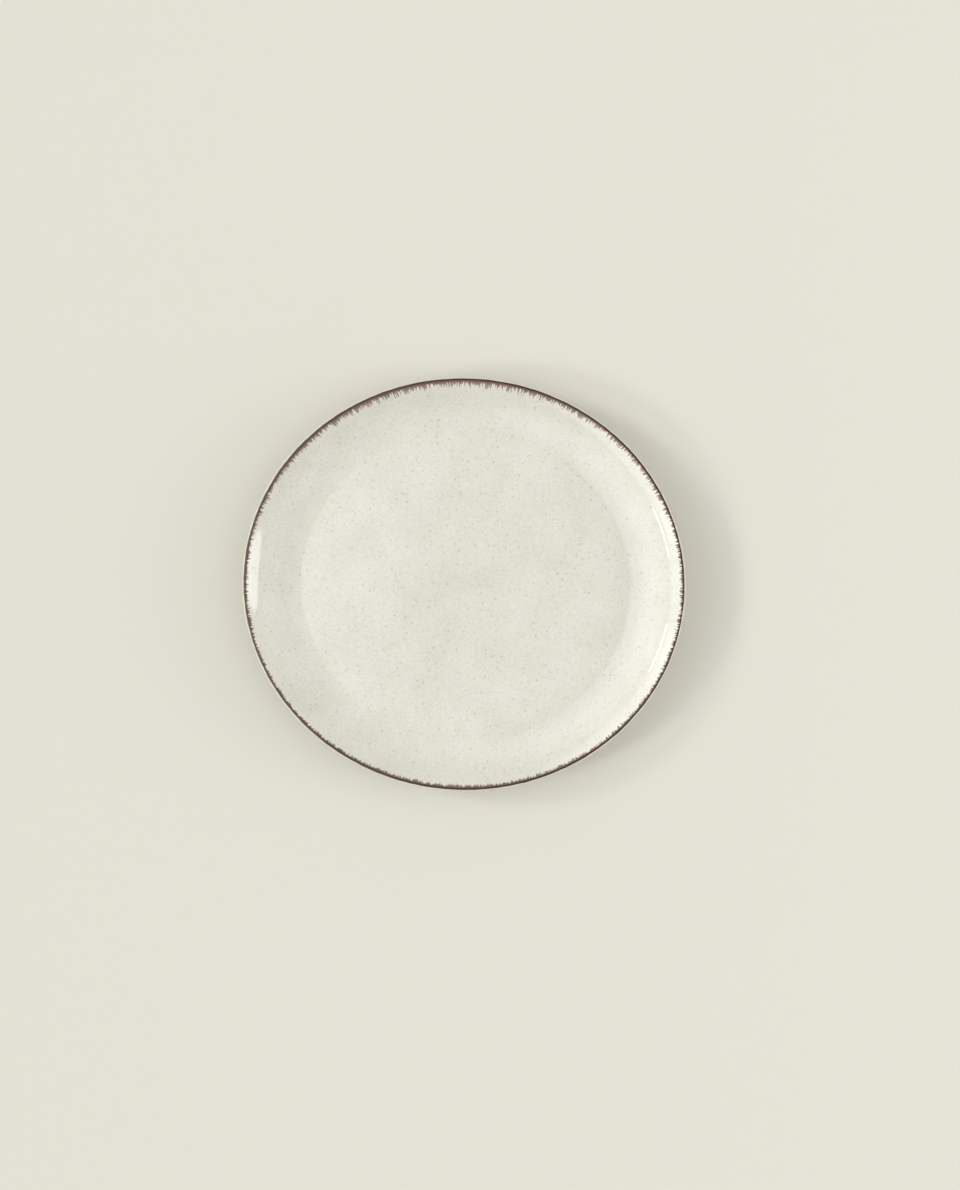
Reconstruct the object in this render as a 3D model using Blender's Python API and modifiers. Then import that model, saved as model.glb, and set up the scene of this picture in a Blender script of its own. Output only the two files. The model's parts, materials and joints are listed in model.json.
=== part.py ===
"""A coupe dinner plate: a fired clay body with its glazes and its brushed oxide band.

The plate is a shallow dish with no flat rim. Its floor is flat, its wall curves up in one arc, and its
lip is rounded. It stands on a low foot ring that is left bare. The outline is slightly oval.

Units are metres, +Z is up, and the origin is on the table under the centre of the plate. Every section is
drawn on the long axis (X), turned about Z, and then drawn in along Y to the plate's width.
"""

from math import asin, ceil, cos, radians, sin, sqrt

import bpy

# Overall sizes, over the glaze
LENGTH = 0.273
WIDTH = 0.2545
HEIGHT = 0.020

# The wall, over the glaze
FLOOR_THICKNESS = 0.004
LIP_THICKNESS = 0.0036
INNER_CURVE = 0.047
OUTER_CURVE = 0.052

# The foot ring, over the glaze on the long axis
FOOT_RADIUS = 0.090
FOOT_WIDTH = 0.0055
FOOT_HEIGHT = 0.002
FOOT_FILLET = 0.001
FOOT_EDGE = 0.0005
BARE_HEIGHT = 0.0008

# The fired layers. A glaze is 0.2 to 0.4 mm thick in life and is drawn a little thicker here.
GLAZE = 0.0005
GAP = 0.0003
BAND_REACH = 0.007
PALE_LINE = 0.0011

# How finely the sections are turned and their arcs are drawn
TURN_STEPS = 60
WALL_STEP = radians(8)
LIP_STEP = radians(30)
FOOT_STEP = radians(45)
MERGE = 1e-5

# The places that follow from those sizes, on the section at +X
LIP_RADIUS = LIP_THICKNESS / 2
LIP_X = LENGTH / 2 - LIP_RADIUS
LIP_Z = HEIGHT - LIP_RADIUS
FLOOR_Z = FOOT_HEIGHT + FLOOR_THICKNESS
FOOT_INNER = FOOT_RADIUS - FOOT_WIDTH
BODY_DEPTH = GLAZE + GAP

# A direction is the angle of a surface's outward normal, turned clockwise from +Z: 0 is up, 90 is out
UP, OUT, DOWN, IN = 0.0, radians(90), radians(180), radians(270)

INNER_Z = FLOOR_Z + INNER_CURVE
INNER_X = LIP_X - sqrt((INNER_CURVE + LIP_RADIUS) ** 2 - (INNER_Z - LIP_Z) ** 2)
INNER_END = -asin((LIP_X - INNER_X) / (INNER_CURVE + LIP_RADIUS))

OUTER_Z = FOOT_HEIGHT + OUTER_CURVE
OUTER_X = LIP_X - sqrt((OUTER_CURVE - LIP_RADIUS) ** 2 - (OUTER_Z - LIP_Z) ** 2)
OUTER_START = DOWN - asin((LIP_X - OUTER_X) / (OUTER_CURVE - LIP_RADIUS))

# The outside curve runs down to the flat underside, or stops at a foot ring wide enough to stand under it
OUTER_END = DOWN - asin(max(0.0, FOOT_RADIUS + FOOT_FILLET - OUTER_X) / OUTER_CURVE)
UNDERSIDE_Z = OUTER_Z + OUTER_CURVE * cos(OUTER_END)

BAND_START = -asin((LENGTH / 2 - BAND_REACH - INNER_X) / INNER_CURVE)
BAND_END = asin((LIP_RADIUS - PALE_LINE) / LIP_RADIUS)


def arc(centre, radius, start, end, step):
    """Points of an arc whose normal turns from start to end. A hollow arc has a negative radius."""
    count = max(1, ceil(abs(end - start) / step - 1e-6))
    turns = [start + (end - start) * i / count for i in range(count + 1)]
    return [(centre[0] + radius * sin(a), centre[1] + radius * cos(a)) for a in turns]


def inner_wall(depth, start, end):
    """The eating side's curve, at a depth under its surface."""
    return arc((INNER_X, INNER_Z), -(INNER_CURVE + depth), start, end, WALL_STEP)


def lip(depth, *stops):
    """The rounded lip, at a depth under its surface, with a point on each direction that is named."""
    points = []
    for start, end in zip(stops, stops[1:]):
        points += arc((LIP_X, LIP_Z), LIP_RADIUS - depth, start, end, LIP_STEP)[bool(points) :]
    return points


def outer_wall(depth):
    """The outside curve, from the lip down to the underside, at a depth under its surface."""
    return arc((OUTER_X, OUTER_Z), OUTER_CURVE - depth, OUTER_START, OUTER_END, WALL_STEP)


def outer_fillet(depth):
    """The fillet between the underside and the outside of the foot ring."""
    centre = (FOOT_RADIUS + FOOT_FILLET, UNDERSIDE_Z - FOOT_FILLET)
    return arc(centre, -(FOOT_FILLET + depth), DOWN, OUT, FOOT_STEP)


def well_fillet(depth):
    """The fillet between the inside of the foot ring and the underside that it surrounds."""
    centre = (FOOT_INNER - FOOT_FILLET, FOOT_HEIGHT - FOOT_FILLET)
    return arc(centre, -(FOOT_FILLET + depth), IN, DOWN, FOOT_STEP)


def foot_edges(depth):
    """The bare face that the plate stands on, with its rounded edges."""
    outer = (FOOT_RADIUS - depth - FOOT_EDGE, FOOT_EDGE)
    inner = (FOOT_INNER + depth + FOOT_EDGE, FOOT_EDGE)
    return arc(outer, FOOT_EDGE, OUT, DOWN, FOOT_STEP) + arc(inner, FOOT_EDGE, DOWN, IN, FOOT_STEP)


def layer(surface):
    """The section of a glaze: its surface, and the same line one glaze thickness under it, run back."""
    return surface(0.0) + surface(GLAZE)[::-1]


def body_section():
    depth = BODY_DEPTH
    return (
        [(0.0, FLOOR_Z - depth)]
        + inner_wall(depth, UP, INNER_END)
        + lip(depth, INNER_END, UP, OUT, OUTER_START)[1:]
        + outer_wall(depth)[1:]
        + outer_fillet(depth)
        + foot_edges(depth)
        + well_fillet(depth)
        + [(0.0, FOOT_HEIGHT + depth)]
    )


def face_glaze_section():
    end = BAND_START + GAP / INNER_CURVE
    return layer(lambda depth: [(0.0, FLOOR_Z - depth)] + inner_wall(depth, UP, end))


def rim_band_section():
    return layer(
        lambda depth: inner_wall(depth, BAND_START, INNER_END) + lip(depth, INNER_END, UP, BAND_END)[1:]
    )


def outer_glaze_section():
    start = BAND_END + GAP / LIP_RADIUS
    return layer(
        lambda depth: lip(depth, start, OUT, OUTER_START)
        + outer_wall(depth)[1:]
        + outer_fillet(depth)
        + [(FOOT_RADIUS - depth, BARE_HEIGHT)]
    )


def foot_well_glaze_section():
    return layer(
        lambda depth: [(FOOT_INNER + depth, BARE_HEIGHT)]
        + well_fillet(depth)
        + [(0.0, FOOT_HEIGHT + depth)]
    )


def srgb(code):
    """A hex colour as the linear values that a shader takes."""
    shares = [int(code[i : i + 2], 16) / 255 for i in (0, 2, 4)]
    return [s / 12.92 if s <= 0.04045 else ((s + 0.055) / 1.055) ** 2.4 for s in shares]


def finish(name, colour, roughness):
    """A fired surface of one colour. None of them is metal."""
    made = bpy.data.materials.new(name)
    made.use_nodes = True
    shader = made.node_tree.nodes["Principled BSDF"]
    shader.inputs["Base Color"].default_value = (*srgb(colour), 1.0)
    shader.inputs["Roughness"].default_value = roughness
    shader.inputs["Metallic"].default_value = 0.0
    return made


def turned(name, section, surface, collection, frame):
    """A closed section turned about Z and drawn in to the plate's width. A side on the axis is left out."""
    edges = [(i, (i + 1) % len(section)) for i in range(len(section))]
    edges = [(a, b) for a, b in edges if section[a][0] or section[b][0]]
    mesh = bpy.data.meshes.new(name)
    mesh.from_pydata([(x, 0.0, z) for x, z in section], edges, [])
    mesh.materials.append(surface)
    piece = bpy.data.objects.new(name, mesh)
    collection.objects.link(piece)
    piece.parent = frame
    piece.scale.y = WIDTH / LENGTH
    turn = piece.modifiers.new("Turn", "SCREW")
    turn.steps = turn.render_steps = TURN_STEPS
    turn.use_merge_vertices = True
    turn.merge_threshold = MERGE
    turn.use_smooth_shade = True


def clear_scene():
    for old in list(bpy.data.objects):
        bpy.data.objects.remove(old)


def main():
    clear_scene()
    collection = bpy.data.collections.new("dinner_plate")
    bpy.context.scene.collection.children.link(collection)
    frame = bpy.data.objects.new("plate_frame", None)
    collection.objects.link(frame)

    clay = finish("fired_clay", "d9d0c0", 0.7)
    cream = finish("cream_glaze", "e6e4d8", 0.12)
    brown = finish("brown_oxide_glaze", "66543f", 0.2)
    for name, section, surface in (
        ("plate_body", body_section(), clay),
        ("face_glaze", face_glaze_section(), cream),
        ("rim_band", rim_band_section(), brown),
        ("outer_glaze", outer_glaze_section(), cream),
        ("foot_well_glaze", foot_well_glaze_section(), cream),
    ):
        turned(name, section, surface, collection, frame)


main()
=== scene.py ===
"""A coupe dinner plate in speckled cream glaze with a brushed brown edge, for Blender 4.5.

The plate is a clay body under four fired layers: the glaze of the eating side, the brown oxide band round
the lip, the glaze of the outside and the glaze of the recess inside the foot ring. Every layer is a half
section drawn on the long axis (X), spun about Z and drawn in along Y to the plate's width.

Units are metres, +Z is up, and the origin is on the table under the centre of the plate.
"""

import json
from math import asin, ceil, cos, pi, radians, sin, sqrt

import bmesh
import bpy
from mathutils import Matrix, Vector


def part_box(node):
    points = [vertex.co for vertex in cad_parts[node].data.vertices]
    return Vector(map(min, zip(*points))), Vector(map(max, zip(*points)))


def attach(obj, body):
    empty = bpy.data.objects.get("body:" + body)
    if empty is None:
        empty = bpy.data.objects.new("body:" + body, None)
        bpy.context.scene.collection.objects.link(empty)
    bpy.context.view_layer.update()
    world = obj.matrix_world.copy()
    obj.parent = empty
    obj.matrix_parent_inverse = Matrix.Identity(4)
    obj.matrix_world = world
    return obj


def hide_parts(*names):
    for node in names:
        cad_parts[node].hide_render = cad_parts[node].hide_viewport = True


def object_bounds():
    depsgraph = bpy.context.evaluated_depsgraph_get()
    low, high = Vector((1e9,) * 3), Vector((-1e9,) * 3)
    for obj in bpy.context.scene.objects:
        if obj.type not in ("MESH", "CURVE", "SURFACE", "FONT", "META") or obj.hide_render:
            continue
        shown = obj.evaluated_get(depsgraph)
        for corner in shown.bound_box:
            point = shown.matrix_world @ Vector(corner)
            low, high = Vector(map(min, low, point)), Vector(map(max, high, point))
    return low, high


bl_info = {
    "name": "Speckled Dinner Plate",
    "version": (1, 0, 0),
    "blender": (4, 5, 0),
    "location": "3D View > Sidebar > Plate",
    "description": "Builds a glazed coupe dinner plate with a brushed brown edge, and a plain studio for it",
    "category": "Add Mesh",
}

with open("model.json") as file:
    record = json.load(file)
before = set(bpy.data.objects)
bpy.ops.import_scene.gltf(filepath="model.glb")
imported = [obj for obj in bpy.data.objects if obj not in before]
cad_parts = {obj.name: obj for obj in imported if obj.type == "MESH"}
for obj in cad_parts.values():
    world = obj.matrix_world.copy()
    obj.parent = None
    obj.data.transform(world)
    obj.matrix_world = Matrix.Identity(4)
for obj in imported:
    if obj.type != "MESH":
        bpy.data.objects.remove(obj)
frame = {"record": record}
cad_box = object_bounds()

MM = 0.001

# A direction is the angle of a surface's outward normal, turned clockwise from +Z: 0 is up, 90 is out
UP, OUT, DOWN, IN = 0.0, radians(90), radians(180), radians(270)

# How finely the half sections are drawn
FLOOR_STEP = 2.0 * MM
RECESS_STEP = 3 * FLOOR_STEP
WALL_STEP = radians(1.0)
LIP_STEP = radians(7.5)
FOOT_STEP = radians(15)
UNDER_STEP = radians(3)
SEAM_STEP = 0.1 * MM
DOUBLES = 0.001 * MM
CREASE = radians(40)

# A step that fits a whole number of times still does when the last digit is rounded up
ROUNDING = 1e-6

# Across the foot ring, over the glaze
FOOT_WIDTH = 5.5 * MM

# The clay lies this far under its glaze, so that the two surfaces never share a place
SKIN = 0.02 * MM

# The floor settles a little inside the foot ring as the clay softens in the kiln
SETTLE = 0.03 * MM
SETTLE_FROM, SETTLE_TO = 97 * MM, 79 * MM


def linear(code):
    """An sRGB hex colour as the linear values that shaders and lamps take."""
    shares = [int(code[i : i + 2], 16) / 255 for i in (0, 2, 4)]
    return [s / 12.92 if s <= 0.04045 else ((s + 0.055) / 1.055) ** 2.4 for s in shares]


def mount_place(name):
    """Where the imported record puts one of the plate's resting faces."""
    return next(mount["pos_m"] for mount in frame["record"]["mounts"] if mount["name"] == name)


def size_property(name, description, default):
    return bpy.props.FloatProperty(
        name=name, description=description, default=default, min=0.0, unit="LENGTH", precision=5
    )


def colour_property(name, description, code):
    return bpy.props.FloatVectorProperty(
        name=name, description=description, default=linear(code), size=3, min=0.0, max=1.0, subtype="COLOR"
    )


class PlateSizes(bpy.types.PropertyGroup):
    """The fired sizes, over the glaze."""

    length: size_property("Length", "Across the lip, the long way", cad_box[1].x - cad_box[0].x)
    width: size_property("Width", "Across the lip, the short way", cad_box[1].y - cad_box[0].y)
    height: size_property("Height", "From the table to the crest of the lip", cad_box[1].z - cad_box[0].z)
    floor_height: size_property("Floor Height", "From the table to the floor", mount_place("well_floor")[2])
    lip_thickness: size_property("Lip Thickness", "Across the rounded lip", 3.6 * MM)
    inner_curve: size_property("Inner Curve", "Radius of the wall on the eating side", 47 * MM)
    outer_curve: size_property("Outer Curve", "Radius of the wall on the outside", 52 * MM)
    foot_radius: size_property(
        "Foot Radius",
        "Outside of the foot ring on the long axis",
        mount_place("foot_rest")[0] + FOOT_WIDTH / 2,
    )
    foot_width: size_property("Foot Width", "Across the foot ring", FOOT_WIDTH)
    foot_height: size_property("Foot Height", "From the table to the underside", 2 * MM)
    foot_fillet: size_property("Foot Fillet", "Radius where the foot ring meets the underside", 1 * MM)
    foot_edge: size_property("Foot Edge", "Radius of the foot ring's bare edges", 0.5 * MM)
    bare_height: size_property("Bare Height", "How high the foot ring is wiped clean", 0.8 * MM)
    glaze: size_property("Glaze", "Thickness of the fired glaze", 0.4 * MM)
    band_edge: size_property("Band Edge", "Where the band's layer starts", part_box("face_glaze")[1].x)
    lip_line: size_property("Lip Line", "Width of the pale line at the edge of the lip", 1.1 * MM)
    turn_steps: bpy.props.IntProperty(
        name="Turn Steps", description="Faces round the plate", default=288, min=12, max=512
    )


class PlateColours(bpy.types.PropertyGroup):
    """The fired colours."""

    cream: colour_property("Cream", "The glaze where it lies thick", "e5e3d7")
    cream_shade: colour_property("Cream Shade", "The glaze where it lies thin", "d7d6c9")
    speck: colour_property("Speck", "Iron specks under the glaze", "847c6e")
    band_line: colour_property("Band Line", "Oxide where it lies thickest, beside the lip", "301f12")
    band_brown: colour_property("Band Brown", "Oxide brushed thin", "46321b")
    band_red: colour_property("Band Red", "Oxide where the fire turned it red", "603a2b")
    blush: colour_property("Blush", "The glaze beside the oxide", "ecdccf")
    lip_pale: colour_property("Lip Pale", "The crest of the lip, where the glaze runs thin", "dfd2c5")
    clay: colour_property("Clay", "The bare clay of the foot ring", "cfc2ab")
    clay_shade: colour_property("Clay Shade", "The bare clay where it is worn", "b3a388")


class StudioSettings(bpy.types.PropertyGroup):
    """The table, the lamps and the camera."""

    table: colour_property("Table", "The plain table top", "dfddd1")
    light: colour_property("Light", "The colour of every lamp", "ffffff")
    horizon: colour_property("Horizon", "The room where the table ends", "f1efe3")
    room_strength: bpy.props.FloatProperty(
        name="Room Strength", description="Brightness of the room", default=0.676, min=0.0
    )
    key_strength: bpy.props.FloatProperty(
        name="Key Strength", description="Light of each low window", default=0.62, min=0.0
    )
    high_strength: bpy.props.FloatProperty(
        name="High Strength", description="Light of each wide, high window", default=0.38, min=0.0
    )
    pane_power: bpy.props.FloatProperty(
        name="Pane Power", description="Power of each window pane that the glaze mirrors", default=5.6,
        min=0.0, unit="POWER",
    )
    glow_strength: bpy.props.FloatProperty(
        name="Glow Strength", description="Brightness of the pale wall round the windows", default=2.1,
        min=0.0,
    )
    ceiling_strength: bpy.props.FloatProperty(
        name="Ceiling Strength", description="Brightness of the ceiling on the window side", default=1.0,
        min=0.0,
    )
    fill_strength: bpy.props.FloatProperty(
        name="Fill Strength", description="Brightness of the low panel", default=4.7, min=0.0
    )
    camera_height: size_property("Camera Height", "From the table to the camera", 1.8)
    view_height: size_property("View Height", "What the picture shows at the lip, the long way", 0.7316)
    view_turn: bpy.props.FloatProperty(
        name="View Turn", description="How far the plate is turned in the picture", default=radians(3.44),
        subtype="ANGLE",
    )
    view_right: size_property("View Right", "The camera's place, to the picture's right", 9.8 * MM)
    view_down: size_property("View Down", "The camera's place, to the picture's foot", 6.65 * MM)


def arc(centre, radius, start, end, step):
    """Points of an arc whose normal turns from start to end. A hollow arc has a negative radius."""
    count = max(1, ceil(abs(end - start) / step - ROUNDING))
    turns = [start + (end - start) * i / count for i in range(count + 1)]
    return [(centre[0] + radius * sin(a), centre[1] + radius * cos(a)) for a in turns]


def settled(radius):
    """How far the floor has settled at a radius."""
    share = min(1.0, max(0.0, (SETTLE_FROM - radius) / (SETTLE_FROM - SETTLE_TO)))
    return SETTLE * share * share * (3 - 2 * share)


class Section:
    """The half section on the long axis. A depth is measured into the wall from the fired surface."""

    def __init__(self, sizes):
        self.sizes = sizes
        self.lip_radius = sizes.lip_thickness / 2
        self.lip_centre = (sizes.length / 2 - self.lip_radius, sizes.height - self.lip_radius)
        lip_x, lip_z = self.lip_centre
        inner_z = sizes.floor_height + sizes.inner_curve
        inner_arm = sizes.inner_curve + self.lip_radius
        inner_reach = sqrt(inner_arm**2 - (inner_z - lip_z) ** 2)
        self.inner_centre = (lip_x - inner_reach, inner_z)
        self.inner_end = -asin(inner_reach / inner_arm)
        outer_z = sizes.foot_height + sizes.outer_curve
        outer_arm = sizes.outer_curve - self.lip_radius
        outer_reach = sqrt(outer_arm**2 - (outer_z - lip_z) ** 2)
        self.outer_centre = (lip_x - outer_reach, outer_z)
        self.outer_start = DOWN - asin(outer_reach / outer_arm)
        self.band_start = -asin((sizes.band_edge - self.inner_centre[0]) / sizes.inner_curve)
        self.band_end = asin((self.lip_radius - sizes.lip_line) / self.lip_radius)
        self.foot_inner = sizes.foot_radius - sizes.foot_width

    def floor(self, depth):
        """The floor, flat but for its settling, from the axis to the start of the wall's curve."""
        count = round(self.inner_centre[0] / FLOOR_STEP)
        radii = [self.inner_centre[0] * i / count for i in range(count)]
        return [(r, self.sizes.floor_height - settled(r) - depth) for r in radii]

    def inner_wall(self, depth, start, end, step=WALL_STEP):
        """The wall on the eating side."""
        return arc(self.inner_centre, -(self.sizes.inner_curve + depth), start, end, step)

    def lip(self, depth, start, end):
        """The rounded lip, with a point on its crest and on its outermost edge."""
        stops = [start] + [a for a in (UP, OUT) if start < a < end] + [end]
        points = []
        for here, there in zip(stops, stops[1:]):
            points += arc(self.lip_centre, self.lip_radius - depth, here, there, LIP_STEP)[bool(points) :]
        return points

    def outer_wall(self, depth, step=WALL_STEP):
        """The wall on the outside, down to the flat underside."""
        return arc(self.outer_centre, self.sizes.outer_curve - depth, self.outer_start, DOWN, step)

    def outer_foot(self, depth):
        """From the underside into the outer side of the foot ring."""
        fillet = self.sizes.foot_fillet
        centre = (self.sizes.foot_radius + fillet, self.sizes.foot_height - fillet)
        return arc(centre, -(fillet + depth), DOWN, OUT, FOOT_STEP)

    def inner_foot(self, depth):
        """From the inner side of the foot ring into the recess."""
        fillet = self.sizes.foot_fillet
        centre = (self.foot_inner - fillet, self.sizes.foot_height - fillet)
        return arc(centre, -(fillet + depth), IN, DOWN, FOOT_STEP)

    def recess(self, depth):
        """The underside inside the foot ring, from the ring to the axis."""
        start = self.foot_inner - self.sizes.foot_fillet
        count = round(start / RECESS_STEP)
        return [(start * (1 - i / count), self.sizes.foot_height + depth) for i in range(1, count + 1)]

    def clay(self):
        """The whole body, just under its glaze, with the foot ring's bare face."""
        depth = self.sizes.glaze + SKIN
        edge = self.sizes.foot_edge
        outer_edge = (self.sizes.foot_radius - depth - edge, edge)
        inner_edge = (self.foot_inner + depth + edge, edge)
        return (
            self.floor(depth)
            + self.inner_wall(depth, UP, self.inner_end)
            + self.lip(depth, self.inner_end, self.outer_start)[1:]
            + self.outer_wall(depth)[1:]
            + self.outer_foot(depth)
            + arc(outer_edge, edge, OUT, DOWN, FOOT_STEP)
            + arc(inner_edge, edge, DOWN, IN, FOOT_STEP)
            + self.inner_foot(depth)
            + self.recess(depth)
        )

    def face(self):
        """The glaze of the eating side, from the axis to the band and back underneath."""
        seam = SEAM_STEP / self.sizes.inner_curve
        top = self.floor(0.0) + self.inner_wall(0.0, UP, self.band_start + seam)
        top += self.inner_wall(0.0, self.band_start, self.band_start)[:1]
        depth = self.sizes.glaze
        back = self.floor(depth) + self.inner_wall(depth, UP, self.band_start, UNDER_STEP)
        return top + back[::-1]

    def band(self):
        """The brown band, from the face glaze over the crest of the lip to the pale line."""
        seam = SEAM_STEP / self.sizes.inner_curve
        top = self.inner_wall(0.0, self.band_start, self.band_start)[:1]
        top += self.inner_wall(0.0, self.band_start - seam, self.inner_end)
        top += self.lip(0.0, self.inner_end, self.band_end)[1:]
        depth = self.sizes.glaze
        back = self.inner_wall(depth, self.band_start, self.inner_end, UNDER_STEP)
        back += self.lip(depth, self.inner_end, self.band_end)[1:]
        return top + back[::-1]

    def outside(self):
        """The outer glaze, from the pale line down to its rounded end on the foot ring."""
        depth = self.sizes.glaze
        end_centre = (self.sizes.foot_radius - depth, self.sizes.bare_height + depth)
        top = self.lip(0.0, self.band_end, self.outer_start) + self.outer_wall(0.0)[1:]
        top += self.outer_foot(0.0) + arc(end_centre, depth, OUT, DOWN, FOOT_STEP)
        back = self.lip(depth, self.band_end, self.outer_start) + self.outer_wall(depth, UNDER_STEP)[1:]
        back += self.outer_foot(depth)
        return top + back[::-1]

    def foot_well(self):
        """The glaze of the recess, from its rounded end on the foot ring to the axis and back."""
        depth = self.sizes.glaze
        end_centre = (self.foot_inner + depth, self.sizes.bare_height + depth)
        top = arc(end_centre, depth, DOWN, IN, FOOT_STEP) + self.inner_foot(0.0) + self.recess(0.0)
        back = self.inner_foot(depth) + self.recess(depth)
        return top + back[::-1]


def turn_piece(name, section, sizes):
    """Draws a half section point by point, spins it about Z and draws it in to the plate's width."""
    bpy.ops.object.select_all(action="DESELECT")
    bpy.ops.mesh.primitive_plane_add(size=FLOOR_STEP)
    piece = bpy.context.object
    piece.name = piece.data.name = name
    bpy.ops.object.mode_set(mode="EDIT")
    bpy.ops.mesh.select_all(action="SELECT")
    bpy.ops.mesh.merge(type="CENTER")
    bpy.ops.transform.translate(value=(section[0][0], 0.0, section[0][1]))
    for here, there in zip(section, section[1:]):
        step = (there[0] - here[0], 0.0, there[1] - here[1])
        bpy.ops.mesh.extrude_region_move(TRANSFORM_OT_translate={"value": step})

    # A section that leaves and meets the axis closes by spinning; any other is closed by an edge
    if max(section[0][0], section[-1][0]) > DOUBLES:
        drawn = bmesh.from_edit_mesh(piece.data)
        for vertex in drawn.verts:
            vertex.select_set(len(vertex.link_edges) == 1)
        drawn.select_flush_mode()
        bpy.ops.mesh.edge_face_add()
    bpy.ops.mesh.select_all(action="SELECT")
    bpy.ops.mesh.spin(steps=sizes.turn_steps, angle=2 * pi, center=(0, 0, 0), axis=(0, 0, 1))
    bpy.ops.mesh.select_all(action="SELECT")
    bpy.ops.mesh.remove_doubles(threshold=DOUBLES)
    bpy.ops.transform.resize(value=(1.0, sizes.width / sizes.length, 1.0), center_override=(0, 0, 0))
    bpy.ops.mesh.normals_make_consistent(inside=False)
    bpy.ops.object.mode_set(mode="OBJECT")
    bpy.ops.object.shade_smooth_by_angle(angle=CREASE)
    return piece


def fit_piece(piece, node, surface):
    """Gives a piece its finish and puts it in the place of its node."""
    piece.data.materials.append(surface)
    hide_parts(node)
    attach(piece, "root")


def add(tree, kind, inputs=(), out=0, **settings):
    """Adds a node, sets it and fills or links its inputs. Returns one of its outputs, if it has any."""
    made = tree.nodes.new("ShaderNode" + kind)
    for name, value in settings.items():
        setattr(made, name, value)
    for name, value in dict(inputs).items():
        if isinstance(value, bpy.types.NodeSocket):
            tree.links.new(value, made.inputs[name])
        else:
            made.inputs[name].default_value = value
    return made.outputs[out] if made.outputs else made


def new_finish(name):
    """An empty material and its node tree."""
    made = bpy.data.materials.new(name)
    made.use_nodes = True
    made.node_tree.nodes.clear()
    return made, made.node_tree


# The cream glaze clouds from one cream to another: the size of the clouds and of the grain in them, how much
# the grain adds, and where the noise starts and ends its change from the one cream to the other
CLOUD_SIZE = 25 * MM
GRAIN_SIZE = 1.3 * MM
GRAIN_SHARE = 0.9
CLOUD_LOW, CLOUD_HIGH = 0.2, 0.8

# Specks of three sizes: how far apart they lie and their radius in millimetres, how rare, and how dark. Their
# core is a share of their radius, and over the spread of their rarity they grow from unseen to full strength.
SPECKS = ((2.1, 0.75, 0.40, 0.20), (3.6, 1.00, 0.50, 0.27), (7.0, 0.95, 0.55, 0.36))
SPECK_CORE = 0.4
SPECK_RARITY_SPREAD = 0.3

# The glaze's surface: its long waves and its orange peel, each with its size and its height
WAVE_SIZE, WAVE_HEIGHT = 16 * MM, 0.05 * MM
PEEL_SIZE, PEEL_HEIGHT = 1.4 * MM, 0.0016 * MM
CERAMIC_IOR = 1.5
CREAM_ROUGHNESS, OXIDE_ROUGHNESS = 0.06, 0.14
CREAM_FINISH = "speckled_cream_gloss_glaze"
OXIDE_FINISH = "brushed_iron_oxide_gloss_glaze"

# The bearings, in degrees, towards which the brush went further in
FAR_SIDE, FAR_LEFT = 98, 131

# Where the strokes start and where their tips end, in millimetres in from the edge of the lip: at right
# angles to the far side, and how that grows towards it, straight and squared. Towards the far left they
# start a little further in.
STROKE_ROOT = (1.9, -0.05, 0.95)
STROKE_TIP = (3.65, 1.0, 1.7)
ROOT_FAR_LEFT = 0.3

# Tufts lie about 6 mm apart: the size of their noise and its drift along a stroke, where it is cut off, how
# far it moves the tips in millimetres, and the share of that at the sides and what the far side adds to it
TUFT_SIZE, TUFT_DRIFT = 3, 0.05
TUFT_LOW, TUFT_HIGH = 0.35, 0.75
TUFT_SHORTER, TUFT_LONGER = -0.5, 1.1
TUFT_SIDES, TUFT_FAR = 0.6, 0.4

# Bristles lie about 1.5 mm and 0.8 mm apart: the size of their noise, its drift along a stroke and its share
BRISTLES = ((0.75, 0.12, 0.6), (0.4, 0.3, 0.4))
BRISTLE_LOW, BRISTLE_HIGH = 0.36, 0.64

# The oxide's soft edge, and where it starts to thin, ends thinning and how thick it then is, in millimetres
FEATHER = 0.4
THIN_FROM, THIN_TO, THINNEST = 1.8, 4.8, 0.65

# Drops under a millimetre across: how far apart, their edge and core as shares of that, how dark, how rare,
# and how far from the tips they are seldom and often found, in millimetres
DROP_SPACING = 1.7 * MM
DROP_EDGE, DROP_CORE, DROP_DEPTH = 0.26, 0.10, 0.5
DROP_RARE, DROP_COMMON = 0.45, 0.6
DROP_SELDOM, DROP_OFTEN = 1.3, 0.4

# How far the oxide stains the cream beside it, in millimetres, and how much
BLUSH_REACH, BLUSH_DEPTH = 1.5, 0.5

# Red patches in the brown: their size, how much redder the far side is, and where in the noise they start
# and are full
PATCH_SIZE = 11 * MM
PATCH_FAR = 0.08
PATCH_LOW, PATCH_HIGH = 0.4, 0.6

# The dark line beside the lip fades out between these, in millimetres in from the edge
LINE_END, LINE_FULL = 2.4, 1.5

# The cut between the wall's two sides: its slope, and the depths under the crest where it is all outside
# and all eating side
CUT_SLOPE = 0.85
CUT_LOW, CUT_HIGH = 1.1 * MM, 0.7 * MM

# The pale line at the edge of the lip: the noise that makes it waver, with its size and its reach, how much
# narrower than its layer it is, and how soft its inner edge is. All but the size are in millimetres.
WAVER_SIZE = 6 * MM
WAVER_REACH, LINE_INSET, LINE_FEATHER = 0.5, 0.05, 0.12

# The paleness fades out this far under the crest, and this far in from the edge in millimetres
PALE_LOW, PALE_HIGH = 4.0 * MM, 1.2 * MM
PALE_END, PALE_FULL = 1.6, 1.0

# The bare clay: its worn patches, its dark grit and the sand in it, which stands this high
WORN_SIZE = 7 * MM
WORN_LOW, WORN_HIGH = 0.4, 0.65
GRIT_SIZE = 0.9 * MM
GRIT_EDGE, GRIT_CORE, GRIT_DEPTH = 0.28, 0.12, 0.45
SAND_SIZE, SAND_HEIGHT = 0.4 * MM, 0.04 * MM
CLAY_ROUGHNESS = 0.82


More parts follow.
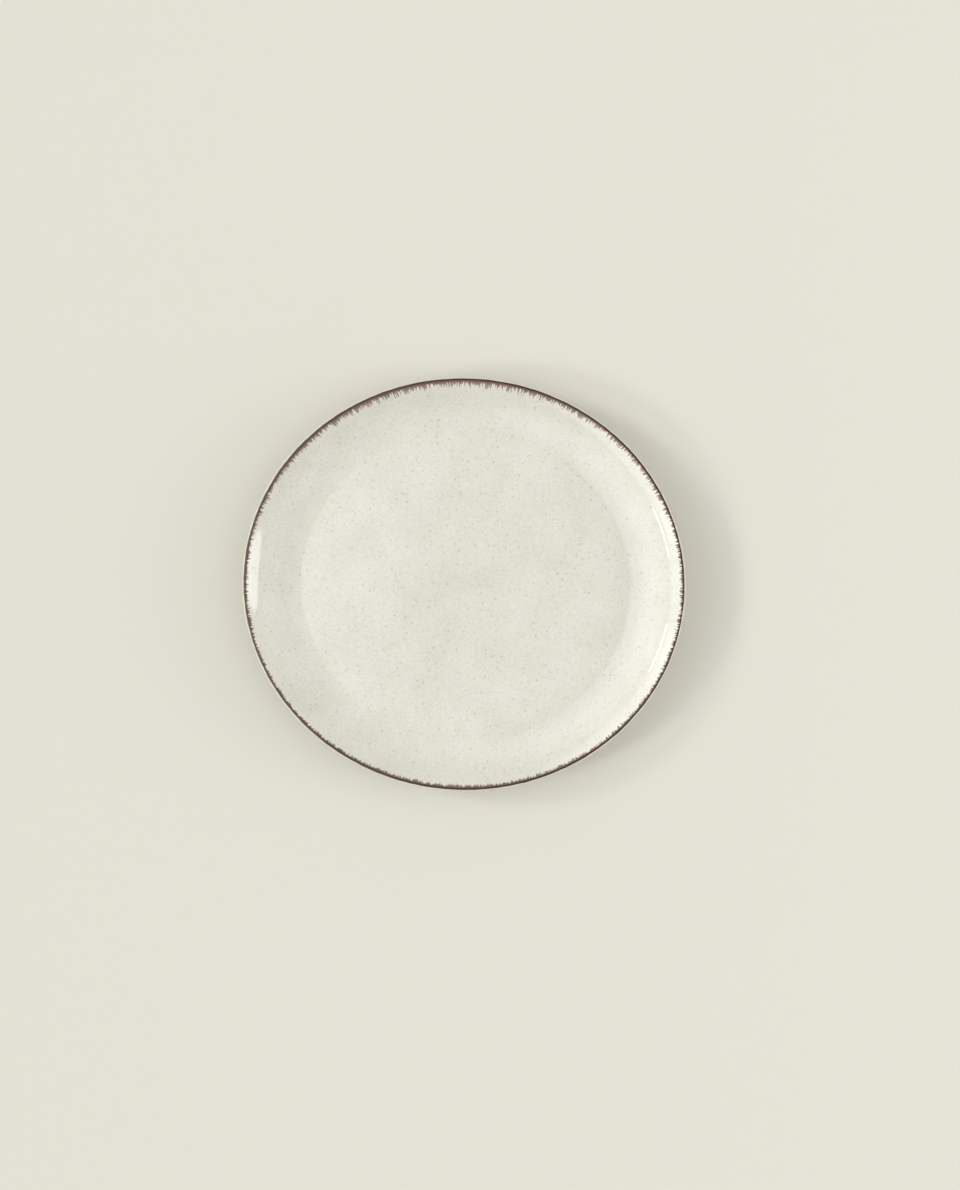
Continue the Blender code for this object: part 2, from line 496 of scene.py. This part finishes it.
def cream_glaze(tree, colours, place):
    """A tin-white stoneware glaze over an iron-bearing clay: cloudy cream with specks that bleed a little.

    The clouds are faint and have a fine grain. A speck's core is 0.6 to 0.8 mm across and fades out at 1.5 to
    2 mm. Most specks are faint and a few are dark. Returns the colour.
    """
    clouds = add(
        tree, "TexNoise", {"Vector": place, "Scale": 1 / CLOUD_SIZE, "Detail": 4.0, "Roughness": 0.6}
    )
    grain = add(tree, "TexNoise", {"Vector": place, "Scale": 1 / GRAIN_SIZE, "Detail": 1.0})
    grain = add(
        tree, "Math", {0: grain, 1: GRAIN_SHARE, 2: -GRAIN_SHARE / 2}, operation="MULTIPLY_ADD"
    )
    clouds = add(tree, "Math", {0: clouds, 1: grain}, operation="ADD")
    cloudy = add(tree, "MapRange", {"Value": clouds, "From Min": CLOUD_LOW, "From Max": CLOUD_HIGH})
    colour = add(
        tree, "Mix", {0: cloudy, 6: (*colours.cream_shade, 1), 7: (*colours.cream, 1)}, 2,
        data_type="RGBA",
    )
    specks = None
    for spacing, radius, rarity, depth in SPECKS:
        edge = radius / spacing
        core = SPECK_CORE * radius / spacing
        dots = add(tree, "TexVoronoi", {"Vector": place, "Scale": 1 / (spacing * MM)})
        near = add(
            tree, "MapRange", {"Value": dots, "From Min": edge, "From Max": core, "To Max": depth},
            interpolation_type="SMOOTHSTEP",
        )
        luck = dots.node.outputs["Color"]
        chance = add(
            tree, "MapRange",
            {"Value": luck, "From Min": rarity, "From Max": rarity + SPECK_RARITY_SPREAD},
        )
        shown = add(tree, "Math", {0: near, 1: chance}, operation="MULTIPLY")
        specks = shown if specks is None else add(tree, "Math", {0: specks, 1: shown}, operation="MAXIMUM")
    return add(tree, "Mix", {0: specks, 6: colour, 7: (*colours.speck, 1)}, 2, data_type="RGBA")


def glaze_relief(tree, place):
    """The glaze's surface: long low waves where it flowed, and a trace of orange peel."""
    waves = add(tree, "TexNoise", {"Vector": place, "Scale": 1 / WAVE_SIZE, "Detail": 1.0})
    peel = add(tree, "TexNoise", {"Vector": place, "Scale": 1 / PEEL_SIZE, "Detail": 1.0})
    flow = add(tree, "Bump", {"Strength": 1.0, "Distance": WAVE_HEIGHT, "Height": waves})
    return add(tree, "Bump", {"Strength": 1.0, "Distance": PEEL_HEIGHT, "Height": peel, "Normal": flow})


def finish_glaze(tree, colour, roughness, normal):
    """Glaze is glass: no metal, and smooth enough to mirror the windows."""
    shader = add(
        tree, "BsdfPrincipled",
        {"Base Color": colour, "Roughness": roughness, "IOR": CERAMIC_IOR, "Metallic": 0.0, "Normal": normal},
    )
    add(tree, "OutputMaterial", {"Surface": shader})


def speckled_cream_glaze(colours):
    """Speckled cream stoneware glaze, dipped and fired to a full gloss: soft cream with crisp reflections."""
    made, tree = new_finish(CREAM_FINISH)
    place = add(tree, "TexCoord", out="Object")
    colour = cream_glaze(tree, colours, place)
    finish_glaze(tree, colour, CREAM_ROUGHNESS, glaze_relief(tree, place))
    return made


def plan_vector(degrees):
    """A unit vector in plan, counted anticlockwise from +X."""
    return (cos(radians(degrees)), sin(radians(degrees)), 0.0)


def lip_map(tree, place, sizes):
    """Where a place lies by the lip: millimetres in from its edge, and its angle as a unit vector.

    A unit vector closes on itself where an angle in degrees would jump.
    """
    round_plan = (1.0, sizes.length / sizes.width, 0.0)
    plan = add(tree, "VectorMath", {0: place, 1: round_plan}, operation="MULTIPLY")
    radius = add(tree, "VectorMath", {0: plan}, "Value", operation="LENGTH")
    angle = add(tree, "VectorMath", {0: plan}, operation="NORMALIZE")
    inward = add(tree, "Math", {0: radius, 1: -1 / MM, 2: sizes.length / 2 / MM}, operation="MULTIPLY_ADD")
    return inward, angle


def towards(tree, angle, bearing):
    """How far a place lies towards a bearing: 1 there, 0 at right angles to it and -1 opposite."""
    return add(tree, "VectorMath", {0: angle, 1: plan_vector(bearing)}, "Value", operation="DOT_PRODUCT")


def reach(tree, far, sides, slope, curve):
    """How far in from the edge the brush went, which changes round the lip."""
    growth = add(tree, "Math", {0: far, 1: curve, 2: slope}, operation="MULTIPLY_ADD")
    return add(tree, "Math", {0: far, 1: growth, 2: sides}, operation="MULTIPLY_ADD")


def stroke_noise(tree, stroke_place, rim, size, drift, detail):
    """Noise that is narrow round the lip and long across it. Its size is in millimetres, as is the rim."""
    scale = (rim / size, rim / size, drift)
    stretched = add(tree, "VectorMath", {0: stroke_place, 1: scale}, operation="MULTIPLY")
    return add(tree, "TexNoise", {"Vector": stretched, "Scale": 1.0, "Detail": detail})


def bristle_strokes(tree, inward, angle, far, sizes):
    """Strokes of a stiff brush. Returns how deep inside a stroke a place lies, and where the tips end."""
    inward_z = add(tree, "CombineXYZ", {"Z": inward})
    stroke_place = add(tree, "VectorMath", {0: angle, 1: inward_z}, operation="ADD")
    root = reach(tree, far, *STROKE_ROOT)
    far_left = towards(tree, angle, FAR_LEFT)
    root = add(tree, "Math", {0: far_left, 1: ROOT_FAR_LEFT, 2: root}, operation="MULTIPLY_ADD")
    tip = reach(tree, far, *STROKE_TIP)

    rim = sizes.length / 2 / MM
    tufts = stroke_noise(tree, stroke_place, rim, TUFT_SIZE, TUFT_DRIFT, 1.0)
    tufts = add(
        tree, "MapRange",
        {
            "Value": tufts, "From Min": TUFT_LOW, "From Max": TUFT_HIGH,
            "To Min": TUFT_SHORTER, "To Max": TUFT_LONGER,
        },
    )
    longer = add(tree, "Math", {0: far, 1: TUFT_FAR, 2: TUFT_SIDES}, operation="MULTIPLY_ADD")
    tip = add(tree, "Math", {0: tufts, 1: longer, 2: tip}, operation="MULTIPLY_ADD")

    bristles = 0.0
    for size, drift, share in BRISTLES:
        hairs = stroke_noise(tree, stroke_place, rim, size, drift, 0.0)
        bristles = add(tree, "Math", {0: hairs, 1: share, 2: bristles}, operation="MULTIPLY_ADD")
    bristles = add(
        tree, "MapRange", {"Value": bristles, "From Min": BRISTLE_LOW, "From Max": BRISTLE_HIGH}
    )
    stroke = add(tree, "Math", {0: tip, 1: root}, operation="SUBTRACT")
    edge = add(tree, "Math", {0: stroke, 1: bristles, 2: root}, operation="MULTIPLY_ADD")
    return add(tree, "Math", {0: edge, 1: inward}, operation="SUBTRACT"), tip


def oxide_cover(tree, inside, inward):
    """How much oxide the strokes left: less where the brush had nearly run dry."""
    oxide = add(
        tree, "MapRange", {"Value": inside, "From Min": -FEATHER, "From Max": FEATHER},
        interpolation_type="SMOOTHSTEP",
    )
    thin = add(
        tree, "MapRange",
        {"Value": inward, "From Min": THIN_FROM, "From Max": THIN_TO, "To Min": 1.0, "To Max": THINNEST},
    )
    return add(tree, "Math", {0: oxide, 1: thin}, operation="MULTIPLY")


def flicked_drops(tree, place, inward, tip):
    """Small drops flicked off the bristles, round about the tips of the strokes."""
    drops = add(tree, "TexVoronoi", {"Vector": place, "Scale": 1 / DROP_SPACING})
    drop = add(
        tree, "MapRange",
        {"Value": drops, "From Min": DROP_EDGE, "From Max": DROP_CORE, "To Max": DROP_DEPTH},
        interpolation_type="SMOOTHSTEP",
    )
    luck = drops.node.outputs["Color"]
    chance = add(tree, "MapRange", {"Value": luck, "From Min": DROP_RARE, "From Max": DROP_COMMON})
    past = add(tree, "Math", {0: inward, 1: tip}, operation="SUBTRACT")
    past = add(tree, "Math", {0: past}, operation="ABSOLUTE")
    close = add(tree, "MapRange", {"Value": past, "From Min": DROP_SELDOM, "From Max": DROP_OFTEN})
    drop = add(tree, "Math", {0: drop, 1: chance}, operation="MULTIPLY")
    return add(tree, "Math", {0: drop, 1: close}, operation="MULTIPLY")


def oxide_brown(tree, colours, place, inward, far):
    """Oxide that is nearly black beside the lip and turns from grey-brown to red-brown in patches."""
    patches = add(tree, "TexNoise", {"Vector": place, "Scale": 1 / PATCH_SIZE, "Detail": 2.0})
    patches = add(tree, "Math", {0: far, 1: PATCH_FAR, 2: patches}, operation="MULTIPLY_ADD")
    patches = add(tree, "MapRange", {"Value": patches, "From Min": PATCH_LOW, "From Max": PATCH_HIGH})
    brown = add(
        tree, "Mix", {0: patches, 6: (*colours.band_brown, 1), 7: (*colours.band_red, 1)}, 2,
        data_type="RGBA",
    )
    line = add(
        tree, "MapRange", {"Value": inward, "From Min": LINE_END, "From Max": LINE_FULL},
        interpolation_type="SMOOTHSTEP",
    )
    return add(tree, "Mix", {0: line, 6: brown, 7: (*colours.band_line, 1)}, 2, data_type="RGBA")


def eating_side(tree, inward, height, sizes):
    """1 on the eating side of the wall and 0 on its outside, parted by a cut that slants down its middle."""
    above = add(tree, "Math", {0: inward, 1: CUT_SLOPE * MM, 2: height}, operation="MULTIPLY_ADD")
    return add(
        tree, "MapRange",
        {"Value": above, "From Min": sizes.height - CUT_LOW, "From Max": sizes.height - CUT_HIGH},
    )


def inside_lip_line(tree, place, inward, sizes):
    """0 on the pale line at the very edge of the lip, where the oxide ran off, and 1 inside it."""
    waver = add(tree, "TexNoise", {"Vector": place, "Scale": 1 / WAVER_SIZE, "Detail": 1.0})
    waver = add(tree, "Math", {0: waver, 1: WAVER_REACH, 2: inward}, operation="MULTIPLY_ADD")
    line = sizes.lip_line / MM - LINE_INSET
    return add(
        tree, "MapRange", {"Value": waver, "From Min": line - LINE_FEATHER, "From Max": line + LINE_FEATHER}
    )


def lip_paleness(tree, inward, height, sizes):
    """How pale the glaze is on the edge of the lip, where it runs thin."""
    high = add(
        tree, "MapRange",
        {"Value": height, "From Min": sizes.height - PALE_LOW, "From Max": sizes.height - PALE_HIGH},
        interpolation_type="SMOOTHSTEP",
    )
    by_edge = add(tree, "MapRange", {"Value": inward, "From Min": PALE_END, "From Max": PALE_FULL})
    return add(tree, "Math", {0: high, 1: by_edge}, operation="MULTIPLY")


def brushed_oxide_glaze(colours, sizes):
    """Brown iron oxide brushed on the lip under the same gloss: a dark line, then red-brown bristle strokes.

    On the outside of the wall the same glaze is cream, and pale along the edge of the lip.
    """
    made, tree = new_finish(OXIDE_FINISH)
    place = add(tree, "TexCoord", out="Object")
    cream = cream_glaze(tree, colours, place)
    inward, angle = lip_map(tree, place, sizes)
    height = add(tree, "SeparateXYZ", {"Vector": place}, "Z")
    on_top = eating_side(tree, inward, height, sizes)
    far = towards(tree, angle, FAR_SIDE)

    inside, tip = bristle_strokes(tree, inward, angle, far, sizes)
    oxide = oxide_cover(tree, inside, inward)
    drops = flicked_drops(tree, place, inward, tip)
    oxide = add(tree, "Math", {0: oxide, 1: drops}, operation="MAXIMUM")
    below_line = inside_lip_line(tree, place, inward, sizes)
    oxide = add(tree, "Math", {0: oxide, 1: below_line}, operation="MULTIPLY")
    oxide = add(tree, "Math", {0: oxide, 1: on_top}, operation="MULTIPLY")

    blush = add(
        tree, "MapRange", {"Value": inside, "From Min": -BLUSH_REACH, "From Max": 0.0, "To Max": BLUSH_DEPTH},
        interpolation_type="SMOOTHSTEP",
    )
    blush = add(tree, "Math", {0: blush, 1: on_top}, operation="MULTIPLY")
    pale = lip_paleness(tree, inward, height, sizes)
    brown = oxide_brown(tree, colours, place, inward, far)
    colour = add(tree, "Mix", {0: blush, 6: cream, 7: (*colours.blush, 1)}, 2, data_type="RGBA")
    colour = add(tree, "Mix", {0: pale, 6: colour, 7: (*colours.lip_pale, 1)}, 2, data_type="RGBA")
    colour = add(tree, "Mix", {0: oxide, 6: colour, 7: brown}, 2, data_type="RGBA")
    roughness = add(
        tree, "MapRange", {"Value": oxide, "To Min": CREAM_ROUGHNESS, "To Max": OXIDE_ROUGHNESS}
    )
    finish_glaze(tree, colour, roughness, glaze_relief(tree, place))
    return made


def fired_clay(colours):
    """Bare fired stoneware, wiped with a wet sponge: matte and sandy, a little darker where it has worn.

    The sand is drawn coarser than it is, so that it shows.
    """
    made, tree = new_finish("bare_fired_stoneware_clay")
    place = add(tree, "TexCoord", out="Object")
    worn = add(
        tree, "TexNoise", {"Vector": place, "Scale": 1 / WORN_SIZE, "Detail": 4.0, "Roughness": 0.65}
    )
    worn = add(tree, "MapRange", {"Value": worn, "From Min": WORN_LOW, "From Max": WORN_HIGH})
    colour = add(
        tree, "Mix", {0: worn, 6: (*colours.clay, 1), 7: (*colours.clay_shade, 1)}, 2, data_type="RGBA"
    )
    grit = add(tree, "TexVoronoi", {"Vector": place, "Scale": 1 / GRIT_SIZE})
    dark = add(
        tree, "MapRange", {"Value": grit, "From Min": GRIT_EDGE, "From Max": GRIT_CORE, "To Max": GRIT_DEPTH}
    )
    colour = add(tree, "Mix", {0: dark, 6: colour, 7: (*colours.speck, 1)}, 2, data_type="RGBA")
    sand = add(tree, "TexNoise", {"Vector": place, "Scale": 1 / SAND_SIZE, "Detail": 3.0})
    grain = add(tree, "Bump", {"Strength": 1.0, "Distance": SAND_HEIGHT, "Height": sand})
    shader = add(
        tree, "BsdfPrincipled",
        {"Base Color": colour, "Roughness": CLAY_ROUGHNESS, "IOR": CERAMIC_IOR, "Normal": grain},
    )
    add(tree, "OutputMaterial", {"Surface": shader})
    return made


def shared_finish(name, make, *values):
    """A finish that several pieces share is made once."""
    return bpy.data.materials.get(name) or make(*values)


class PLATE_OT_clay_body(bpy.types.Operator):
    """Turn the fired clay body, with its bare foot ring"""

    bl_idname = "plate.clay_body"
    bl_label = "Clay Body"
    bl_options = {"REGISTER", "UNDO"}

    def execute(self, context):
        sizes = context.scene.plate_sizes
        piece = turn_piece("fired_clay_body", Section(sizes).clay(), sizes)
        fit_piece(piece, "plate_body", fired_clay(context.scene.plate_colours))
        return {"FINISHED"}


class PLATE_OT_face_glaze(bpy.types.Operator):
    """Turn the speckled cream glaze of the eating side"""

    bl_idname = "plate.face_glaze"
    bl_label = "Face Glaze"
    bl_options = {"REGISTER", "UNDO"}

    def execute(self, context):
        sizes = context.scene.plate_sizes
        cream = shared_finish(CREAM_FINISH, speckled_cream_glaze, context.scene.plate_colours)
        piece = turn_piece("speckled_face_glaze", Section(sizes).face(), sizes)
        fit_piece(piece, "face_glaze", cream)
        return {"FINISHED"}


class PLATE_OT_rim_band(bpy.types.Operator):
    """Turn the brushed brown band round the inside of the lip"""

    bl_idname = "plate.rim_band"
    bl_label = "Rim Band"
    bl_options = {"REGISTER", "UNDO"}

    def execute(self, context):
        sizes = context.scene.plate_sizes
        brushed = shared_finish(OXIDE_FINISH, brushed_oxide_glaze, context.scene.plate_colours, sizes)
        piece = turn_piece("brushed_rim_band", Section(sizes).band(), sizes)
        fit_piece(piece, "rim_band", brushed)
        return {"FINISHED"}


class PLATE_OT_outer_glaze(bpy.types.Operator):
    """Turn the cream glaze of the outside, from the pale lip line to the foot ring"""

    bl_idname = "plate.outer_glaze"
    bl_label = "Outer Glaze"
    bl_options = {"REGISTER", "UNDO"}

    def execute(self, context):
        sizes = context.scene.plate_sizes
        brushed = shared_finish(OXIDE_FINISH, brushed_oxide_glaze, context.scene.plate_colours, sizes)
        piece = turn_piece("outer_wall_glaze", Section(sizes).outside(), sizes)
        fit_piece(piece, "outer_glaze", brushed)
        return {"FINISHED"}


class PLATE_OT_foot_well_glaze(bpy.types.Operator):
    """Turn the cream glaze of the recess inside the foot ring"""

    bl_idname = "plate.foot_well_glaze"
    bl_label = "Foot Well Glaze"
    bl_options = {"REGISTER", "UNDO"}

    def execute(self, context):
        sizes = context.scene.plate_sizes
        cream = shared_finish(CREAM_FINISH, speckled_cream_glaze, context.scene.plate_colours)
        piece = turn_piece("foot_well_glaze_layer", Section(sizes).foot_well(), sizes)
        fit_piece(piece, "foot_well_glaze", cream)
        return {"FINISHED"}


# The round table top, in metres, and its paint
TABLE_RADIUS = 7.0
TABLE_BORDER = 0.02
TABLE_SIDES = 96
TABLE_ROUGHNESS, TABLE_SPECULAR = 0.9, 0.1

# How far the lamps and the panels stand from the plate, and their sizes, in metres
LAMP_DISTANCE = 3.5
PANE_SIZE = (0.9, 0.16)
PANEL_SIDES = 64

# Suns have a bearing, an elevation and a spread, and panes a bearing and an elevation, in degrees. Bearings
# are counted anticlockwise from +X, and elevations up from the table.
LOW_SUNS = (("window_far", 168, 26, 9), ("window_near", 199, 26, 9))
HIGH_SUNS = (("window_high", 181, 40, 26), ("window_behind", 0, 45, 60))
PANES = (("pane_far", 163, 24.5), ("pane_near", 200.5, 24.5))

# Soft panels: bearing, elevation, width and height in metres, and how much of the panel is even. The walls
# round the windows are repeated at three bearings. The high and the back walls have a share of their glow.
WALL_BEARINGS = (142, 181, 220)
LOW_WALL = (12, (4.6, 1.9), 0.5)
HIGH_WALL = (50, (5.0, 5.8), 0.2)
BACK_WALL = ("back_wall", 0, 45, (6.0, 4.0), 0.2)
CEILING = ("bright_ceiling", 180, 83, (1.3, 0.8), 0.2)
LOW_FILL = ("low_fill", -0.2, 16, (1.8, 1.5), 0.75)
HIGH_WALL_SHARE, BACK_WALL_SHARE = 0.7, 0.4

# The dark spot overhead, by the angle from straight up at its edge and at its core
SPOT_EDGE, SPOT_CORE = radians(1.8), radians(0.2)

# The room's near side and its horizon, by the Y and the Z of a unit vector that points there: where each
# starts, where it is complete, and the near side's share of the brightness or the horizon's own brightness
NEAR_FROM, NEAR_TO, NEAR_SHARE = -0.5, -0.95, 0.5
HORIZON_FROM, HORIZON_TO, HORIZON_STRENGTH = 0.4, 0.04, 1.0


def away_from_plate(bearing, elevation):
    """The direction from the plate towards a lamp."""
    bearing, elevation = radians(bearing), radians(elevation)
    return Vector((cos(bearing) * cos(elevation), sin(bearing) * cos(elevation), sin(elevation)))


def face_plate(thing, away):
    """Turns a lamp or a panel so that its lit side faces the plate."""
    thing.rotation_euler = away.to_track_quat("Z", "Y").to_euler()
    thing.visible_camera = False


def place_lamp(kind, name, bearing, elevation, strength, light):
    """A lamp that faces the plate. No camera sees it."""
    away = away_from_plate(bearing, elevation)
    bpy.ops.object.light_add(type=kind, location=away * LAMP_DISTANCE)
    lamp = bpy.context.object
    lamp.name = lamp.data.name = name
    face_plate(lamp, away)
    lamp.data.energy = strength
    lamp.data.color = light
    return lamp


def place_sun(name, bearing, elevation, spread, strength, light):
    """Light from far away: it lights the plate but is not mirrored in it."""
    sun = place_lamp("SUN", name, bearing, elevation, strength, light)
    sun.data.angle = radians(spread)
    sun.visible_glossy = False


def place_pane(name, bearing, elevation, power, light):
    """A window pane with crisp edges. It is only mirrored in the glaze."""
    pane = place_lamp("AREA", name, bearing, elevation, power, light)
    pane.data.shape = "RECTANGLE"
    pane.data.size, pane.data.size_y = PANE_SIZE
    pane.visible_diffuse = False


def lit_cloth(name, strength, light, size, core):
    """Thin lit cloth: it glows evenly in its core, fades to its edge and lets all other light through."""
    made, tree = new_finish("lit_cloth_" + name)
    place = add(tree, "TexCoord", out="Object")
    oval = (2 / size[0], 2 / size[1], 0.0)
    share = add(tree, "VectorMath", {0: place, 1: oval}, operation="MULTIPLY")
    share = add(tree, "VectorMath", {0: share}, "Value", operation="LENGTH")
    glow = add(
        tree, "MapRange", {"Value": share, "From Min": 1.0, "From Max": core, "To Max": strength},
        interpolation_type="SMOOTHSTEP",
    )
    shine = add(tree, "Emission", {"Color": (*light, 1), "Strength": glow})
    clear = add(tree, "BsdfTransparent")
    add(tree, "OutputMaterial", {"Surface": add(tree, "AddShader", {0: shine, 1: clear})})
    return made


def place_soft_panel(name, bearing, elevation, size, core, strength, light, lights_plate=False):
    """An oval panel of lit cloth that faces the plate. No camera sees it.

    Unless it lights the plate, it is only mirrored in it.
    """
    away = away_from_plate(bearing, elevation)
    bpy.ops.object.select_all(action="DESELECT")
    bpy.ops.mesh.primitive_circle_add(vertices=PANEL_SIDES, radius=0.5, fill_type="NGON")
    panel = bpy.context.object
    panel.name = panel.data.name = name
    bpy.ops.object.mode_set(mode="EDIT")
    bpy.ops.mesh.select_all(action="SELECT")
    bpy.ops.transform.resize(value=(*size, 1.0), center_override=(0, 0, 0))
    bpy.ops.object.mode_set(mode="OBJECT")
    panel.location = away * LAMP_DISTANCE
    face_plate(panel, away)
    panel.data.materials.append(lit_cloth(name, strength, light, size, core))
    panel.visible_shadow = False
    panel.visible_diffuse = lights_plate


class PLATE_OT_studio(bpy.types.Operator):
    """Lay the table, set the lamps and put the camera above the plate"""

    bl_idname = "plate.studio"
    bl_label = "Studio"
    bl_options = {"REGISTER", "UNDO"}

    def execute(self, context):
        scene = context.scene
        studio = scene.plate_studio
        self.lay_table(studio)
        self.light_room(scene, studio)
        self.set_lamps(studio)
        self.set_camera(scene, studio, studio.view_turn)
        return {"FINISHED"}

    def lay_table(self, studio):
        """A round board of pale matte paint: it takes the plate's shadow and mirrors next to nothing."""
        bpy.ops.object.select_all(action="DESELECT")
        bpy.ops.mesh.primitive_circle_add(vertices=TABLE_SIDES, radius=TABLE_RADIUS, fill_type="NGON")
        table = bpy.context.object
        table.name = table.data.name = "table_top"
        bpy.ops.object.mode_set(mode="EDIT")
        bpy.ops.mesh.select_all(action="SELECT")
        bpy.ops.mesh.inset(thickness=TABLE_BORDER)
        bpy.ops.mesh.select_all(action="SELECT")
        bpy.ops.mesh.normals_make_consistent(inside=False)
        bpy.ops.object.mode_set(mode="OBJECT")
        made, tree = new_finish("matte_painted_board")
        paint = {
            "Base Color": (*studio.table, 1),
            "Roughness": TABLE_ROUGHNESS,
            "Specular IOR Level": TABLE_SPECULAR,
        }
        add(tree, "OutputMaterial", {"Surface": add(tree, "BsdfPrincipled", paint)})
        table.data.materials.append(made)

    def light_room(self, scene, studio):
        """An even, pale room: darker on the near side, with a dark spot overhead where the camera stands.

        Towards the horizon it takes on the look of the lit table, so that the table's far edge does not show.
        """
        world = bpy.data.worlds.new("pale_room")
        world.use_nodes = True
        tree = world.node_tree
        tree.nodes.clear()
        way = add(tree, "SeparateXYZ", {"Vector": add(tree, "TexCoord", out="Generated")}).node.outputs
        spot = add(
            tree, "MapRange",
            {
                "Value": way["Z"], "From Min": cos(SPOT_EDGE), "From Max": cos(SPOT_CORE),
                "To Min": studio.room_strength, "To Max": 0.0,
            },
            interpolation_type="SMOOTHSTEP",
        )
        near_side = add(
            tree, "MapRange",
            {
                "Value": way["Y"], "From Min": NEAR_FROM, "From Max": NEAR_TO,
                "To Min": 1.0, "To Max": NEAR_SHARE,
            },
            interpolation_type="SMOOTHSTEP",
        )
        strength = add(tree, "Math", {0: spot, 1: near_side}, operation="MULTIPLY")
        low = add(
            tree, "MapRange", {"Value": way["Z"], "From Min": HORIZON_FROM, "From Max": HORIZON_TO},
            interpolation_type="SMOOTHSTEP",
        )
        strength = add(tree, "Mix", {0: low, 2: strength, 3: HORIZON_STRENGTH}, data_type="FLOAT")
        colour = add(
            tree, "Mix", {0: low, 6: (*studio.light, 1), 7: (*studio.horizon, 1)}, 2, data_type="RGBA"
        )
        light = add(tree, "Background", {"Color": colour, "Strength": strength})
        add(tree, "OutputWorld", {"Surface": light})
        scene.world = world
        scene.view_settings.view_transform = "Standard"

    def set_lamps(self, studio):
        """Suns light the plate, and panes and soft panels are mirrored in it. One low panel does both."""
        light = studio.light
        for sun in LOW_SUNS:
            place_sun(*sun, studio.key_strength, light)
        for sun in HIGH_SUNS:
            place_sun(*sun, studio.high_strength, light)
        for pane in PANES:
            place_pane(*pane, studio.pane_power, light)
        glow = studio.glow_strength
        for number, bearing in enumerate(WALL_BEARINGS, start=1):
            place_soft_panel(f"low_wall_{number}", bearing, *LOW_WALL, glow, light)
            place_soft_panel(f"high_wall_{number}", bearing, *HIGH_WALL, glow * HIGH_WALL_SHARE, light)
        place_soft_panel(*BACK_WALL, glow * BACK_WALL_SHARE, light)
        place_soft_panel(*CEILING, studio.ceiling_strength, light)
        place_soft_panel(*LOW_FILL, studio.fill_strength, light, lights_plate=True)

    def set_camera(self, scene, studio, turn):
        """Straight above the plate, and turned a little against it."""
        right, down = studio.view_right, studio.view_down
        place = (
            right * cos(turn) + down * sin(turn),
            right * sin(turn) - down * cos(turn),
            studio.camera_height,
        )
        bpy.ops.object.camera_add(location=place, rotation=(0.0, 0.0, turn))
        camera = bpy.context.object
        camera.name = camera.data.name = "overhead_camera"
        lip_height = scene.plate_sizes.height
        camera.data.lens = camera.data.sensor_width * (studio.camera_height - lip_height) / studio.view_height
        scene.camera = camera


class PLATE_PT_plate(bpy.types.Panel):
    """The plate's pieces and studio, in the order in which they are made"""

    bl_label = "Dinner Plate"
    bl_idname = "PLATE_PT_plate"
    bl_space_type = "VIEW_3D"
    bl_region_type = "UI"
    bl_category = "Plate"

    def draw(self, context):
        for kind in OPERATORS:
            self.layout.operator(kind.bl_idname)
        for group in (context.scene.plate_sizes, context.scene.plate_colours, context.scene.plate_studio):
            box = self.layout.box()
            for name in group.__annotations__:
                box.prop(group, name)


OPERATORS = (
    PLATE_OT_clay_body,
    PLATE_OT_face_glaze,
    PLATE_OT_rim_band,
    PLATE_OT_outer_glaze,
    PLATE_OT_foot_well_glaze,
    PLATE_OT_studio,
)
CLASSES = (PlateSizes, PlateColours, StudioSettings, *OPERATORS, PLATE_PT_plate)


def register():
    for kind in CLASSES:
        bpy.utils.register_class(kind)
    bpy.types.Scene.plate_sizes = bpy.props.PointerProperty(type=PlateSizes)
    bpy.types.Scene.plate_colours = bpy.props.PointerProperty(type=PlateColours)
    bpy.types.Scene.plate_studio = bpy.props.PointerProperty(type=StudioSettings)


def unregister():
    del bpy.types.Scene.plate_studio
    del bpy.types.Scene.plate_colours
    del bpy.types.Scene.plate_sizes
    for kind in reversed(CLASSES):
        bpy.utils.unregister_class(kind)


def main():
    register()
    bpy.ops.plate.clay_body()
    bpy.ops.plate.face_glaze()
    bpy.ops.plate.rim_band()
    bpy.ops.plate.outer_glaze()
    bpy.ops.plate.foot_well_glaze()
    bpy.ops.plate.studio()


if __name__ == "__main__":
    main()
